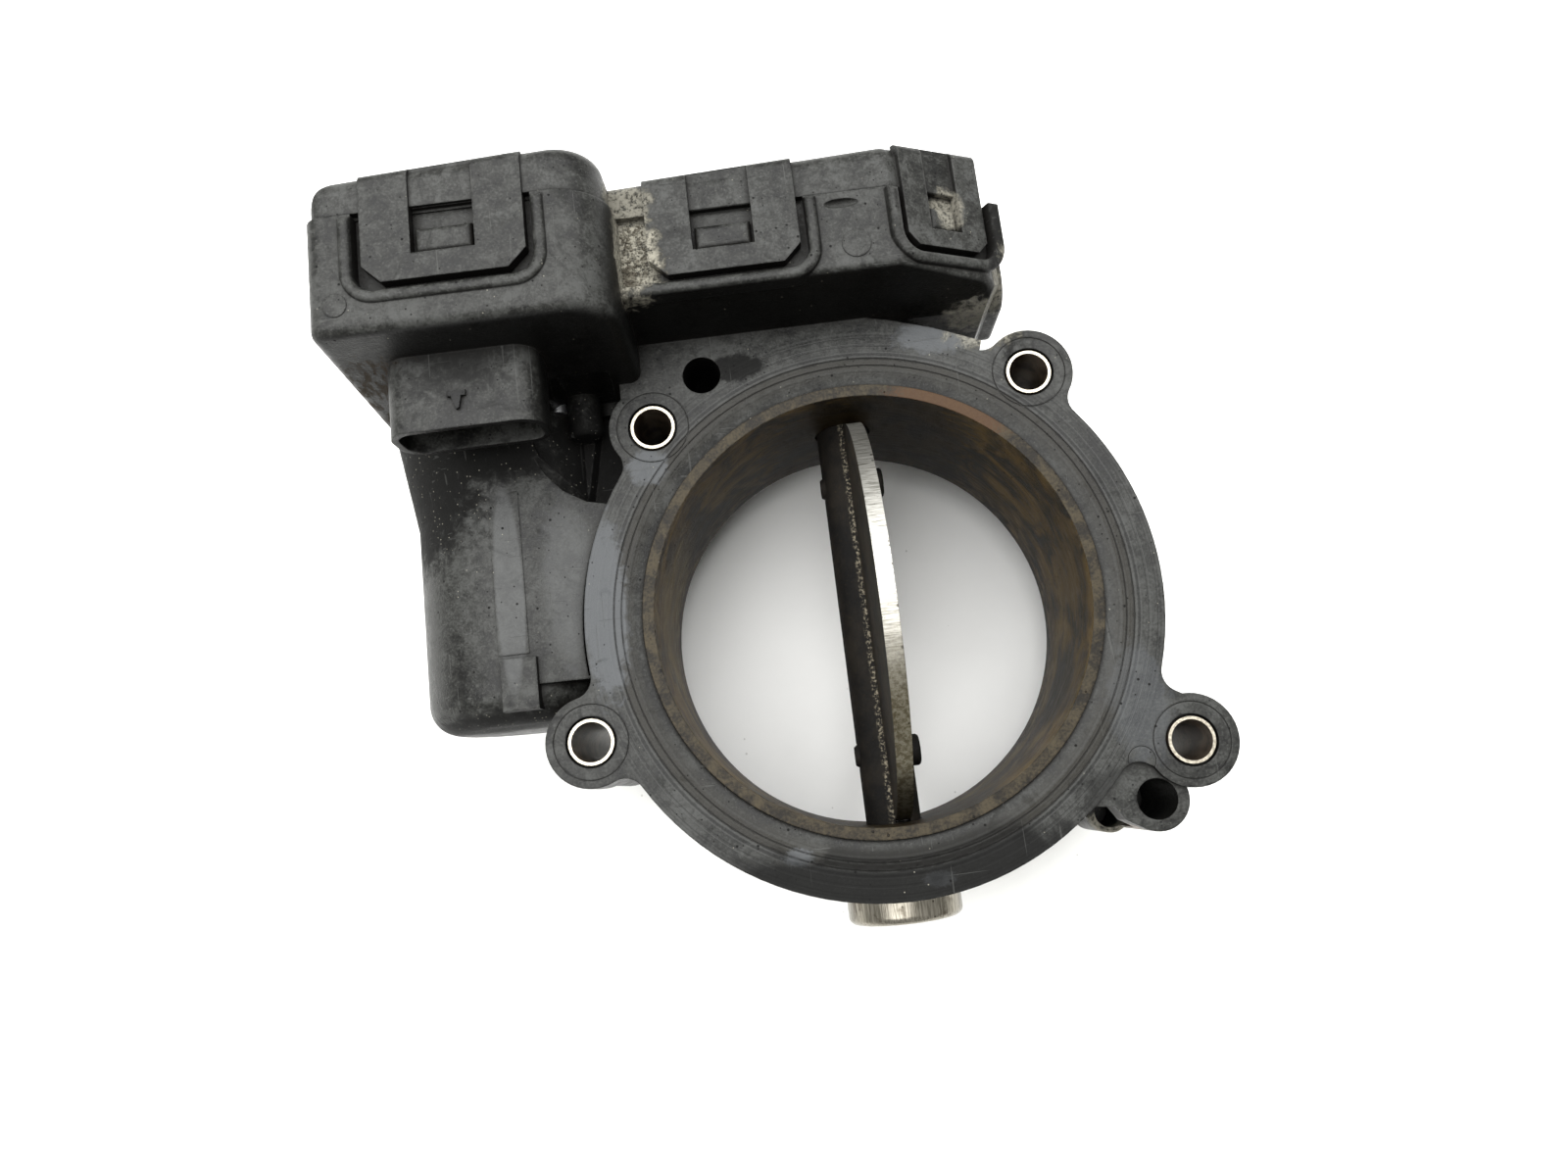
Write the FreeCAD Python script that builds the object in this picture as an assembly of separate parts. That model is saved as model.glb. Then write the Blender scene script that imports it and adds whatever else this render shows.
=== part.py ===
import FreeCAD, Part
import math
import os

# Motor-driven throttle body, millimetres.
# Frame: origin at the centre of the flange face, on the bore axis. +Z points out of that
# face, +Y runs along the throttle shaft towards the gear housing, and +X is to its right.

V = FreeCAD.Vector
os.makedirs("parts", exist_ok=True)

# ---- driving dimensions ----
BORE_R = 37.5            # throttle bore, inside the metal liner
LINER_R = 39.5           # outside of the liner
LINER_LEN = 38.65
CHAMFER_R = 42.45        # inner edge of the flat flange face
TUBE_R = 43.4            # plastic tube around the liner
NECK_R = 45.0            # rear hose neck
NECK_END = -58.0
FLANGE_R = 49.6
FLANGE_T = 9.0

SHAFT_Z = -20.0          # throttle shaft axis height
SHAFT_R = 5.0
SHAFT_LOW = -47.5
SHAFT_HIGH = 62.0
PLATE_R = 37.2
PLATE_X0 = 0.0
PLATE_X1 = 2.8
PLATE_SCREW_Y = (26.6, -24.8)

SLEEVE_R = 3.41          # compression sleeves for M6 screws
SLEEVE_OUT = 3.92
SLEEVE_GAP = 4.4
SLEEVE_LEN = 38.65
LUG_R = 7.8
SIDE_HOLES = [(-24.8, 44.8), (42.5, -38.0), (38.4, -40.0)]
SIDE_HOLE_R = (3.4, 3.4, 2.7)
LUGS = [(-34.45, 36.24), (32.93, 38.0), (49.58, -29.12), (-50.06, -17.67)]

BOX_L_FRONT = 26.5       # front of the motor and connector box
BOX_R_FRONT = 15.0       # front of the gear housing
SEAM_Y = 68.3            # joint between housing and cover
COVER_TOP = 76.3
COVER_ROUND = 3.2
COVER_TILT = (2.4, 2.0)    # slant of the cover's top, in degrees, on the left and right boxes
COVER_PIVOT = (-60.0, -9.0)
COVER_SIDE_ROUND = 7.0
FLOOR_Y = 54.0           # floor of the gear space
WALL = 3.0

MOTOR_X = -64.8
MOTOR_R = 15.0
BULGE_R = 18.0
BULGE_END = -12.6
IDLER_X = -36.0
MODULE_FAST = 0.8        # motor pinion and large idler gear
MODULE_SLOW = 1.0        # small idler gear and sector
PRESSURE = math.radians(25.0)

CONN_X = (-76.0, -50.3)  # connector shroud
CONN_Z = (6.0, 17.5)
CONN_MOUTH = 34.1
CONN_FLOOR = 46.5
CONN_WALL = 1.2
CONN_CORNER = 4.2


# ---- helpers ----
def box(x0, x1, y0, y1, z0, z1):
    return Part.makeBox(x1 - x0, y1 - y0, z1 - z0, V(x0, y0, z0))


def zcyl(r, x, y, z0, z1):
    return Part.makeCylinder(r, z1 - z0, V(x, y, z0), V(0, 0, 1))


def ycyl(r, x, z, y0, y1):
    return Part.makeCylinder(r, y1 - y0, V(x, y0, z), V(0, 1, 0))


def xcyl(r, y, z, x0, x1):
    return Part.makeCylinder(r, x1 - x0, V(x0, y, z), V(1, 0, 0))


def ring_y(r_in, r_out, x, z, y0, y1):
    return ycyl(r_out, x, z, y0, y1).cut(ycyl(r_in, x, z, y0 - 1, y1 + 1))


def ring_z(r_in, r_out, x, y, z0, z1):
    return zcyl(r_out, x, y, z0, z1).cut(zcyl(r_in, x, y, z0 - 1, z1 + 1))


def prism_y(points, y0, y1):
    """Prism of an (x, z) outline, extruded along Y."""
    corners = [V(x, y0, z) for x, z in points]
    return Part.Face(Part.makePolygon(corners + corners[:1])).extrude(V(0, y1 - y0, 0))


def prism_z(points, z0, z1):
    """Prism of an (x, y) outline, extruded along Z."""
    corners = [V(x, y, z0) for x, y in points]
    return Part.Face(Part.makePolygon(corners + corners[:1])).extrude(V(0, 0, z1 - z0))


def prism_x(points, x0, x1):
    """Prism of a (y, z) outline, extruded along X."""
    corners = [V(x0, y, z) for y, z in points]
    return Part.Face(Part.makePolygon(corners + corners[:1])).extrude(V(x1 - x0, 0, 0))


def fuse(shapes):
    first, rest = shapes[0], shapes[1:]
    return first.multiFuse(rest).removeSplitter() if rest else first


def edges_along(shape, axis, test=lambda edge: True):
    found = []
    for edge in shape.Edges:
        if edge.Curve.TypeId != "Part::GeomLine":
            continue
        step = edge.Vertexes[-1].Point - edge.Vertexes[0].Point
        if abs(abs(step.dot(axis)) - edge.Length) < 1e-6 and test(edge):
            found.append(edge)
    return found


def edges_at(shape, axis, level, tol=1e-4):
    """Edges that lie in the plane at a level along an axis."""
    return [e for e in shape.Edges if all(abs(v.Point.dot(axis) - level) < tol for v in e.Vertexes)
            and abs(e.CenterOfMass.dot(axis) - level) < tol]


def export(name, shape):
    shape.exportStep("parts/" + name + ".step")


def involute(angle):
    return math.tan(angle) - angle


def gear_outline(teeth, module, first, count, thin=0.05):
    """(x, z) outline of involute teeth about the origin, the first one centred at an angle."""
    pitch_r = module * teeth / 2
    base_r = pitch_r * math.cos(PRESSURE)
    tip_r = pitch_r + 0.92 * module
    root_r = pitch_r - 1.15 * module
    half = math.pi / (2 * teeth) - thin / pitch_r + involute(PRESSURE)
    start_r = max(base_r, root_r)
    flank = [start_r + (tip_r - start_r) * i / 5 for i in range(6)]
    side = [(r, half - involute(math.acos(min(1.0, base_r / r)))) for r in flank]
    if root_r < start_r:
        side.insert(0, (root_r, side[0][1]))
    points = []
    for k in range(count):
        centre = first + 2 * math.pi * k / teeth
        points += [(r, centre - a) for r, a in side]
        points += [(r, centre + a) for r, a in reversed(side)]
    return [(r * math.cos(a), r * math.sin(a)) for r, a in points]


def moved(points, dx, dz):
    return [(x + dx, z + dz) for x, z in points]


# ---- outlines shared by the housing, the cover and the seal ----
OUTLINE_L = [(-84.2, BOX_L_FRONT), (-35.6, BOX_L_FRONT), (-35.6, -20.0), (-66.0, -40.0),
             (-84.2, -40.0)]
OUTLINE_R = [(-45.0, BOX_R_FRONT), (11.5, BOX_R_FRONT), (27.6, 6.4), (32.2, -8.0), (32.2, -34.0),
             (24.0, -49.0), (12.0, -55.0), (-45.0, -55.0), (-66.0, -40.0), (-66.0, 0.0)]
RADII_L = [3.2, 9.0, 0, 0, 5.0]
RADII_R = [0, 3.0, 5.0, 8.0, 8.0, 8.0, 8.0, 6.0, 0, 0]


def rounded_prism(points, y0, y1, radii):
    """Prism along Y whose corners are rounded by the radius given for each one."""
    solid = prism_y(points, y0, y1)
    axis = V(0, 1, 0)
    for (x, z), r in zip(points, radii):
        if r <= 0:
            continue
        near = edges_along(solid, axis, lambda e: math.hypot(e.CenterOfMass.x - x,
                                                             e.CenterOfMass.z - z) < 0.2)
        solid = solid.makeFillet(r, near)
    return solid


def inset_prism(plan, inset, y0, y1):
    """Prism on a plan, which is the lower face of a solid at y = 0, shrunk evenly by an inset."""
    base = [f for f in plan.Faces if abs(f.CenterOfMass.y) < 1e-6][0]
    outer = base.OuterWire
    if inset > 0:
        outer = outer.makeOffset2D(-inset)
    face = Part.Face(outer)
    face.translate(V(0, y0, 0))
    return face.extrude(V(0, y1 - y0, 0))


def gear_space(inset, y0, y1):
    """Whole plan of the gear and connector housing, shrunk evenly by an inset."""
    left = rounded_prism(OUTLINE_L, 0, 1, RADII_L)
    right = rounded_prism(OUTLINE_R, 0, 1, RADII_R)
    return inset_prism(fuse([left, right]), inset, y0, y1)


def cover_level(x):
    """Height of the cover's slanting top at a place across it."""
    side = 0 if x < -36.0 else 1
    return COVER_TOP + 0.3 + math.tan(math.radians(COVER_TILT[side])) * (x - COVER_PIVOT[side])


# ---- housing ----
def gussets():
    """Ribs between the bore tube and the rear of the flange."""
    ribs = []
    for angle in (-100, -65, -12, 8, 25, 160, 178, 222, 242):
        rib = Part.Face(Part.makePolygon([V(42.0, -1.1, -7.0), V(48.6, -1.1, -7.0), V(48.6, -1.1, -11.0),
                                          V(43.6, -1.1, -30.0), V(42.0, -1.1, -30.0),
                                          V(42.0, -1.1, -7.0)])).extrude(V(0, 2.2, 0))
        rib.rotate(V(0, 0, 0), V(0, 0, 1), angle)
        ribs.append(rib)
    return ribs


def flange():
    plate = zcyl(FLANGE_R, 0, 0, -FLANGE_T, 0)
    shapes = [plate]
    for x, y in LUGS:
        shapes.append(zcyl(LUG_R, x, y, -FLANGE_T, 0))
        reach = math.hypot(x, y)
        if reach > 52:
            ux, uy = x / reach, y / reach
            w = 6.6
            inner = 44.0
            shapes.append(prism_z([(ux * inner - uy * w, uy * inner + ux * w),
                                   (x - uy * w, y + ux * w),
                                   (x + uy * w, y - ux * w),
                                   (ux * inner + uy * w, uy * inner - ux * w)], -FLANGE_T, 0))
    body = fuse(shapes)
    hollow = edges_along(body, V(0, 0, 1), lambda e: abs(
        math.hypot(e.CenterOfMass.x, e.CenterOfMass.y) - FLANGE_R) < 0.05)
    body = body.makeFillet(3.5, hollow)
    shoulder = prism_z([(-39.6, 52.6), (-39.6, 42.0), (-30.0, 32.0), (0.0, 40.0), (24.0, 40.0),
                        (25.5, 44.9), (17.3, 48.4), (9.2, 51.0), (2.0, 52.6)], -FLANGE_T, 0)
    return fuse([body, shoulder])


def lug_bosses():
    shapes = []
    for x, y in LUGS:
        shapes.append(zcyl(7.2, x, y, -SLEEVE_LEN, -FLANGE_T + 0.5))
        reach = math.hypot(x, y)
        ux, uy = x / reach, y / reach
        w = 3.0
        shapes.append(prism_z([(ux * 41 - uy * w, uy * 41 + ux * w), (x - uy * w, y + ux * w),
                               (x + uy * w, y - ux * w), (ux * 41 + uy * w, uy * 41 - ux * w)],
                              -SLEEVE_LEN + 3, -FLANGE_T + 0.5))
    return shapes


def slant_tool(x0, x1, front_z, front_y, rear_z, rear_y):
    """Everything below a sloping underside, to be cut away."""
    return prism_x([(0, front_z + 5), (front_y, front_z + 5), (front_y, front_z),
                    (rear_y, rear_z), (rear_y, -70), (0, -70)], x0, x1)


def left_box():
    body = rounded_prism(OUTLINE_L, 38.0, SEAM_Y, RADII_L)
    body = body.cut(slant_tool(-95, -20, BOX_L_FRONT, 48.2, -40.0, 40.0))
    rim = [e for e in body.Edges if e.CenterOfMass.z > BOX_L_FRONT - 0.01 and e.CenterOfMass.y < 49]
    return body.makeFillet(2.0, rim)


def right_box():
    body = rounded_prism(OUTLINE_R, 44.0, SEAM_Y, RADII_R)
    under = slant_tool(-80, 60, BOX_R_FRONT, 54.2, -2.0, 51.5)
    corner = prism_z([(40.0, 66.0), (33.5, 61.0), (26.5, 50.0), (40.0, 50.0)], -70, 30)
    body = body.cut([under, corner])
    rim = [e for e in body.Edges if e.CenterOfMass.z > BOX_R_FRONT - 0.01 and e.CenterOfMass.y < 54.5]
    return body.makeFillet(1.2, rim)


def motor_bulge():
    shell = ycyl(BULGE_R, MOTOR_X, SHAFT_Z, BULGE_END, 46.0)
    rim = [e for e in edges_at(shell, V(0, 1, 0), BULGE_END)]
    shell = shell.makeFillet(5.5, rim)
    flare = Part.makeCone(BULGE_R, 21.3, 19.0, V(MOTOR_X, 26.0, SHAFT_Z), V(0, 1, 0))
    facets = prism_y([(-66.0, -2.05), (-59.7, -2.05), (-52.2, -3.0), (-44.0, -4.2),
                      (-44.0, -26.0), (-66.0, -26.0)], -6.5, 36.0)
    web = prism_z([(-67.0, -6.5), (-44.0, -6.5), (-44.0, 24.4), (-48.0, 25.2), (-52.0, 27.6),
                   (-54.9, 30.9), (-56.7, 34.6), (-67.0, 34.6)], -30.0, 0)
    facets = facets.common(web)
    strip = box(-65.2, -59.8, -1.0, 28.0, -6.0, -1.92)
    pad = box(-64.8, -58.5, -10.8, -1.8, -8.0, -0.9)
    return fuse([shell, flare, facets, strip, pad])


def connector_shroud(grow, y0, y1):
    x0, x1 = CONN_X[0] - grow, CONN_X[1] + grow
    z0, z1 = CONN_Z[0] - grow, CONN_Z[1] + grow
    solid = box(x0, x1, y0, y1, z0, z1)
    corners = edges_along(solid, V(0, 1, 0))
    return solid.makeFillet(CONN_CORNER + grow, corners)


def spot(shape, place):
    """Turn a piece drawn on a front face at x = 0, z = 0 onto one side of the housing."""
    turned = shape.copy()
    turned.rotate(V(0, 0, 0), V(0, 1, 0), place["turn"])
    turned.translate(V(place["x"], 0, place["z"]))
    return turned


# Snap clips of the cover: width, window width, lowest point, top of the sill, and the side of
# the housing that each one hangs on.
CLIPS = [dict(width=26.3, window=10.3, low=56.2, sill=60.5, turn=0, x=-61.7, z=BOX_L_FRONT - 0.5),
         dict(width=25.7, window=10.5, low=57.0, sill=61.0, turn=0, x=-17.75, z=BOX_R_FRONT),
         dict(width=16.3, window=6.4, low=58.0, sill=61.3, turn=28.1, x=20.6, z=10.14),
         dict(width=25.7, window=10.5, low=57.0, sill=61.0, turn=180, x=-29.0, z=-55.0),
         dict(width=16.0, window=6.4, low=59.8, sill=63.0, turn=90, x=32.2, z=-21.0),
         dict(width=25.7, window=10.5, low=57.0, sill=61.0, turn=-90, x=-84.2, z=-8.0)]
SEAT_DEPTH = 2.0
SEAT_CORNER = 3.4
SEAT_GAP = 1.5           # between a clip's sill and the rib below it
RIB_WIDTH = 2.1
RIB_HEIGHT = 1.2


def rounded_low(solid, r, low):
    """Round the lower corners of a clip recess or rib."""
    corners = [e for e in edges_along(solid, V(0, 0, 1)) if e.CenterOfMass.y < low + 0.5]
    return solid.makeFillet(r, corners)


def clip_seat(place):
    """Recess in the housing behind a clip."""
    half = place["width"] / 2 + 1.3
    low = place["low"] - SEAT_GAP
    seat = box(-half, half, low, SEAM_Y + 3, -SEAT_DEPTH, 3)
    return spot(rounded_low(seat, SEAT_CORNER, low), place)


def clip_rib(place):
    """Raised U-shaped rib around a clip recess, rounded like a bead."""
    half = place["width"] / 2 + 1.3
    low = place["low"] - SEAT_GAP
    wide = half + RIB_WIDTH
    base = low - RIB_WIDTH
    outer = box(-wide, wide, base, SEAM_Y - 0.5, -2.4, RIB_HEIGHT)
    outer = rounded_low(outer, SEAT_CORNER + RIB_WIDTH, base)
    inner = rounded_low(box(-half, half, low, SEAM_Y + 1, -3, 3), SEAT_CORNER, low)
    rib = outer.cut(inner)
    rib = rib.makeFillet(0.9, edges_at(rib, V(0, 0, 1), RIB_HEIGHT))
    return spot(rib, place)


def catch(place):
    """Rounded catch that the clip's window snaps over."""
    half = place["window"] / 2 - 0.5
    low = place["sill"] + 0.2
    body = box(-half, half, low, low + 4.4, -2.6, -0.4)
    body = body.makeFillet(1.0, edges_at(body, V(0, 0, 1), -0.4))
    return spot(body, place)


def clip(place):
    """U-shaped snap clip of the cover: two arms and a sill below a window."""
    half, low, sill = place["width"] / 2, place["low"], place["sill"]
    window = place["window"] / 2
    c = 3.0 if half > 10 else 2.0
    lean = half * math.cos(math.radians(place["turn"]))
    left_top, right_top = [cover_level(place["x"] + side) - 0.4 for side in (-lean, lean)]
    strap = prism_z([(-half, left_top), (-half, low + c), (-half + c, low), (half - c, low),
                     (half, low + c), (half, right_top)], 0.2 - SEAT_DEPTH, 0.2)
    bend = [e for e in strap.Edges if e.CenterOfMass.z > 0.19 and abs(e.CenterOfMass.x) < 0.5
            and e.CenterOfMass.y > SEAM_Y]
    strap = strap.makeFillet(1.9, bend)
    panel = box(-window, window, sill, COVER_TOP + 4, -0.9, 1)
    opening = box(-window, window, sill, SEAM_Y + 0.4, -4, 1)
    return spot(strap.cut([panel, opening]), place)


def hole_tools():
    """Everything drilled or bored along the bore axis."""
    tools = [zcyl(LINER_R, 0, 0, -LINER_LEN, 5)]
    tools.append(Part.makeCone(LINER_R, CHAMFER_R, 0.8, V(0, 0, -0.8), V(0, 0, 1)))
    tools.append(zcyl(CHAMFER_R, 0, 0, 0, 5))
    tools.append(Part.makeCone(43.5, 41.0, -NECK_END - LINER_LEN + 0.01, V(0, 0, NECK_END),
                               V(0, 0, 1)))
    for x, y in LUGS:
        tools.append(zcyl(SLEEVE_OUT, x, y, -SLEEVE_LEN - 1, 1))
        tools.append(zcyl(SLEEVE_GAP, x, y, -1.5, 1))
        tools.append(ring_z(6.3, 6.5, x, y, -0.15, 1))
    tools.append(ring_z(43.0, 43.25, 0, 0, -0.15, 1))
    tools.append(ring_z(44.3, 44.55, 0, 0, -0.15, 1))
    for (x, y), r, floor, mouth in zip(SIDE_HOLES, SIDE_HOLE_R, (-22.0, -22.0, -30.0), (1, 1, -8)):
        tools.append(zcyl(r, x, y, floor, mouth))
    tools.append(ring_z(2.2, 2.35, 40.8, -31.4, -0.12, 1))
    return tools


def shaft_tools():
    """Bores along the throttle shaft."""
    z = SHAFT_Z
    return [ycyl(5.3, 0, z, -52, 60),
            ycyl(8.0, 0, z, 42.0, 45.0),
            ycyl(9.5, 0, z, 45.0, 60),
            ring_y(11.5, 15.0, 0, z, 43.5, 60),
            ycyl(8.0, 0, z, -44.0, -41.5),
            ycyl(9.5, 0, z, -48.0, -44.0),
            ycyl(10.25, 0, z, -60, -48.0),
            box(-0.95, 0.95, 44.3, 60, z + 12, z + 16.8)]


def motor_tools():
    return [ycyl(15.4, MOTOR_X, SHAFT_Z, -10.1, 52),
            ycyl(16.2, MOTOR_X, SHAFT_Z, 48.9, 52)]


EARS = [(MOTOR_X + 12.4, SHAFT_Z + 12.4), (MOTOR_X - 12.4, SHAFT_Z - 12.4)]
PIN_PITCH = 3.4
PIN_X = [(CONN_X[0] + CONN_X[1]) / 2 + PIN_PITCH * (i - 2.5) for i in range(6)]
PIN_Z = (CONN_Z[0] + CONN_Z[1]) / 2


def housing():
    z = SHAFT_Z
    solids = [flange()] + lug_bosses()
    solids += [zcyl(TUBE_R, 0, 0, -LINER_LEN, -1), zcyl(NECK_R, 0, 0, NECK_END, -36.0)]
    solids += [left_box(), right_box(), motor_bulge(), connector_shroud(0, CONN_MOUTH, 50)]
    solids += [ycyl(17.6, 0, z, 39.0, 56), ycyl(12.0, 0, z, -49.8, -39.0)]
    solids += [ycyl(6.0, IDLER_X, z, 43.0, 56)]
    solids.append(prism_z([(29.0, -36.0), (38.0, -29.0), (46.4, -33.9), (47.4, -38.0),
                           (42.5, -43.2), (39.0, -42.1), (36.9, -40.8), (35.5, -38.5),
                           (31.8, -38.0)], -7.0, -1.0))
    (ux, uy), (lx, ly), (rx, ry) = SIDE_HOLES
    solids.append(zcyl(5.4, ux, uy, -24.0, -1.0))
    solids.append(zcyl(5.3, lx, ly, -24.0, -1.0))
    solids.append(zcyl(3.6, rx, ry, -32.0, -17.0))
    solids.append(prism_z([(26.0, -34.0), (33.0, -28.0), (40.0, -36.5), (38.0, -42.4), (35.4, -41.2)],
                          -30.0, -18.5))
    post = ycyl(3.1, -47.6, -8.0, 38.4, 50)
    solids.append(post.makeFillet(1.2, edges_at(post, V(0, 1, 0), 38.4)))
    solids.append(prism_z([(-52.0, 48.0), (-36.0, 53.0), (-36.0, 40.0), (-44.0, 30.0), (-47.0, 16.0),
                           (-56.0, 16.0)], -34.0, -14.0))
    solids.append(prism_z([(-60.0, 50.0), (-36.0, 50.0), (-36.0, 30.0), (-44.0, 14.0), (-46.0, -5.0),
                           (-60.0, -5.0)], -37.0, -20.0))
    solids.append(box(-56.0, -41.0, 22.0, 47.0, -26.0, -13.0))
    solids += [clip_rib(place) for place in CLIPS]
    bead_low = CLIPS[1]["low"] - SEAT_GAP - RIB_WIDTH
    bead = box(-36.5, -27.0, bead_low, bead_low + RIB_WIDTH, BOX_R_FRONT - 2.4, BOX_R_FRONT + RIB_HEIGHT)
    crest = edges_along(bead, V(1, 0, 0), lambda e: e.CenterOfMass.z > BOX_R_FRONT)
    solids.append(bead.makeFillet(0.9, crest))
    solids += gussets()
    body = fuse(solids)

    tools = hole_tools() + shaft_tools() + motor_tools()
    tools.append(gear_space(WALL, FLOOR_Y, 90))
    rim_groove = ring_z(FLANGE_R, FLANGE_R + 0.9, 0, 0, -7.5, 0)
    tools.append(rim_groove.common(box(-56, -40, -6.0, 24.0, -8, 1)))
    tools.append(box(-80.9, -40.0, 51.0, 90, -36.0, 21.5))
    tools += [clip_seat(place) for place in CLIPS]
    tools.append(box(-35.5, -28.0, bead_low + RIB_WIDTH, SEAM_Y + 3,
                     BOX_R_FRONT - SEAT_DEPTH, BOX_R_FRONT + 3))
    inner = connector_shroud(-CONN_WALL, CONN_MOUTH - 5, CONN_FLOOR)
    tools.append(inner)
    dent = FreeCAD.Matrix()
    dent.scale(3.0, 0.9, 1.1)
    dimple = Part.makeSphere(1.0).transformGeometry(dent)
    dimple.translate(V(2.7, 66.2, BOX_R_FRONT + 0.2))
    tools.append(dimple)
    tools += [box(x - 0.4, x + 0.4, 40, 60, PIN_Z - 0.3, PIN_Z + 0.3) for x in PIN_X]
    tools += [ycyl(1.5, x, zz, 43.5, 60) for x, zz in EARS]
    tools += [ycyl(3.5, x, zz, 48.9, 52) for x, zz in EARS]
    tools.append(ycyl(2.0, IDLER_X, z, 46.0, 60))
    tools.append(prism_z([(-57.5, 41.0), (-55.8, 34.5), (-48.5, 27.0), (-43.2, 28.0), (-43.4, 38.0),
                          (-40.5, 46.0), (-50.0, 46.0)], -11.0, 5.0).cut(
                              [zcyl(LUG_R, LUGS[0][0], LUGS[0][1], -40, 6), post,
                               ycyl(BULGE_R + 0.3, MOTOR_X, z, 0, 60)]))
    body = body.cut(tools)
    extras = [catch(place) for place in CLIPS]
    extras.append(zcyl(2.4, 4.4, 58.6, BOX_R_FRONT - 1, BOX_R_FRONT + 0.15))
    extras.append(zcyl(1.9, -79.2, 52.9, BOX_L_FRONT - 1, BOX_L_FRONT + 0.15))
    nib_z = (CONN_Z[1] - 0.3, CONN_Z[1] + 0.6)
    nib = [box(-65.1, -62.1, 39.2, 40.2, *nib_z),
           prism_z([(-64.5, 39.3), (-63.7, 36.9), (-63.2, 37.2), (-62.8, 39.3)], *nib_z)]
    return fuse([body] + extras + nib)


def bore_liner():
    tube = ring_z(BORE_R, LINER_R, 0, 0, -LINER_LEN, 0)
    return tube.cut(ycyl(5.3, 0, SHAFT_Z, -60, 60))


def compression_sleeves():
    return Part.makeCompound([ring_z(SLEEVE_R, SLEEVE_OUT, x, y, -SLEEVE_LEN, 0) for x, y in LUGS])


# ---- cover ----
def gear_cover():
    blocks = []
    for points, radii, tilt, pivot in ((OUTLINE_L, RADII_L, COVER_TILT[0], COVER_PIVOT[0]),
                                       (OUTLINE_R, RADII_R, COVER_TILT[1], COVER_PIVOT[1])):
        block = inset_prism(rounded_prism(points, 0, 1, radii), 0.8, SEAM_Y - 6, COVER_TOP + 0.3)
        block = block.makeFillet(COVER_ROUND, edges_at(block, V(0, 1, 0), COVER_TOP + 0.3))
        block.rotate(V(pivot, SEAM_Y, 0), V(0, 0, 1), tilt)
        blocks.append(block)
    shell = fuse(blocks).cut(box(-120, 80, SEAM_Y - 20, SEAM_Y, -80, 60))
    lip = gear_space(4.6, SEAM_Y - 2.6, SEAM_Y + 1)
    shadow_gap = gear_space(0.0, SEAM_Y, SEAM_Y + 0.5).cut(gear_space(2.2, SEAM_Y - 1, SEAM_Y + 1))
    shell = shell.cut(shadow_gap)
    body = fuse([shell, lip])
    body = body.cut(gear_space(6.0, SEAM_Y - 4, COVER_TOP - 2.5))
    adds = [clip(place) for place in CLIPS]
    adds.append(ycyl(4.2, IDLER_X, SHAFT_Z, 69.4, COVER_TOP - 1))
    body = fuse([body] + adds)
    side = OUTLINE_L[0][0] - 1.0
    centre_x = OUTLINE_L[0][0] + 0.8 + COVER_SIDE_ROUND
    centre_y = cover_level(centre_x) - COVER_SIDE_ROUND
    corner = box(side, centre_x, centre_y, COVER_TOP + 5, -60, 40).cut(
        zcyl(COVER_SIDE_ROUND, centre_x, centre_y, -70, 50))
    return body.cut([corner, ycyl(2.0, IDLER_X, SHAFT_Z, 60, 71.0)])


def cover_seal():
    return gear_space(WALL, 66.2, 67.8).cut(gear_space(4.6, 66, 68))


# ---- shaft, plate and bearings ----
def throttle_shaft():
    z = SHAFT_Z
    shaft = fuse([ycyl(SHAFT_R, 0, z, SHAFT_LOW, 54.6), ycyl(4.0, 0, z, 54.6, SHAFT_HIGH)])
    tools = [box(PLATE_X0, PLATE_X1, -PLATE_R - 0.2, PLATE_R + 0.2, z - 8, z + 8)]
    for y in PLATE_SCREW_Y:
        tools.append(xcyl(1.75, y, z, -8, 8))
        tools.append(xcyl(3.1, y, z, 4.4, 8))
        tools.append(xcyl(2.4, y, z, -8, -4.6))
    return shaft.cut(tools)


def throttle_plate():
    disc = xcyl(PLATE_R, 0, SHAFT_Z, PLATE_X0, PLATE_X1)
    return disc.cut([xcyl(1.75, y, SHAFT_Z, -8, 8) for y in PLATE_SCREW_Y])


def plate_screws():
    screws = []
    for y in PLATE_SCREW_Y:
        head = xcyl(2.9, y, SHAFT_Z, 4.4, 6.5)
        head = head.makeFillet(0.7, edges_at(head, V(1, 0, 0), 6.5))
        recess = fuse([box(5.4, 7, y - 1.5, y + 1.5, SHAFT_Z - 0.3, SHAFT_Z + 0.3),
                       box(5.4, 7, y - 0.3, y + 0.3, SHAFT_Z - 1.5, SHAFT_Z + 1.5)])
        shank = xcyl(1.75, y, SHAFT_Z, -5.0, 4.6)
        peened = Part.makeCone(2.3, 1.7, 0.9, V(-4.6, y, SHAFT_Z), V(-1, 0, 0))
        screws.append(fuse([head.cut(recess), shank, peened]))
    return Part.makeCompound(screws)


def ball_bearing(y0, y1):
    z = SHAFT_Z
    mid = (y0 + y1) / 2
    track = Part.makeTorus(7.25, 1.3, V(0, mid, z), V(0, 1, 0))
    inner = ring_y(SHAFT_R + 0.03, 6.6, 0, z, y0, y1).cut(track)
    outer = ring_y(7.9, 9.5, 0, z, y0, y1).cut(track)
    balls = []
    for k in range(9):
        a = 2 * math.pi * k / 9
        balls.append(Part.makeSphere(1.25, V(7.25 * math.cos(a), mid, z + 7.25 * math.sin(a))))
    return Part.makeCompound([inner, outer] + balls)


def lower_shaft_bearing():
    return ring_y(SHAFT_R + 0.03, 9.5, 0, SHAFT_Z, -48.0, -44.0)


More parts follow.
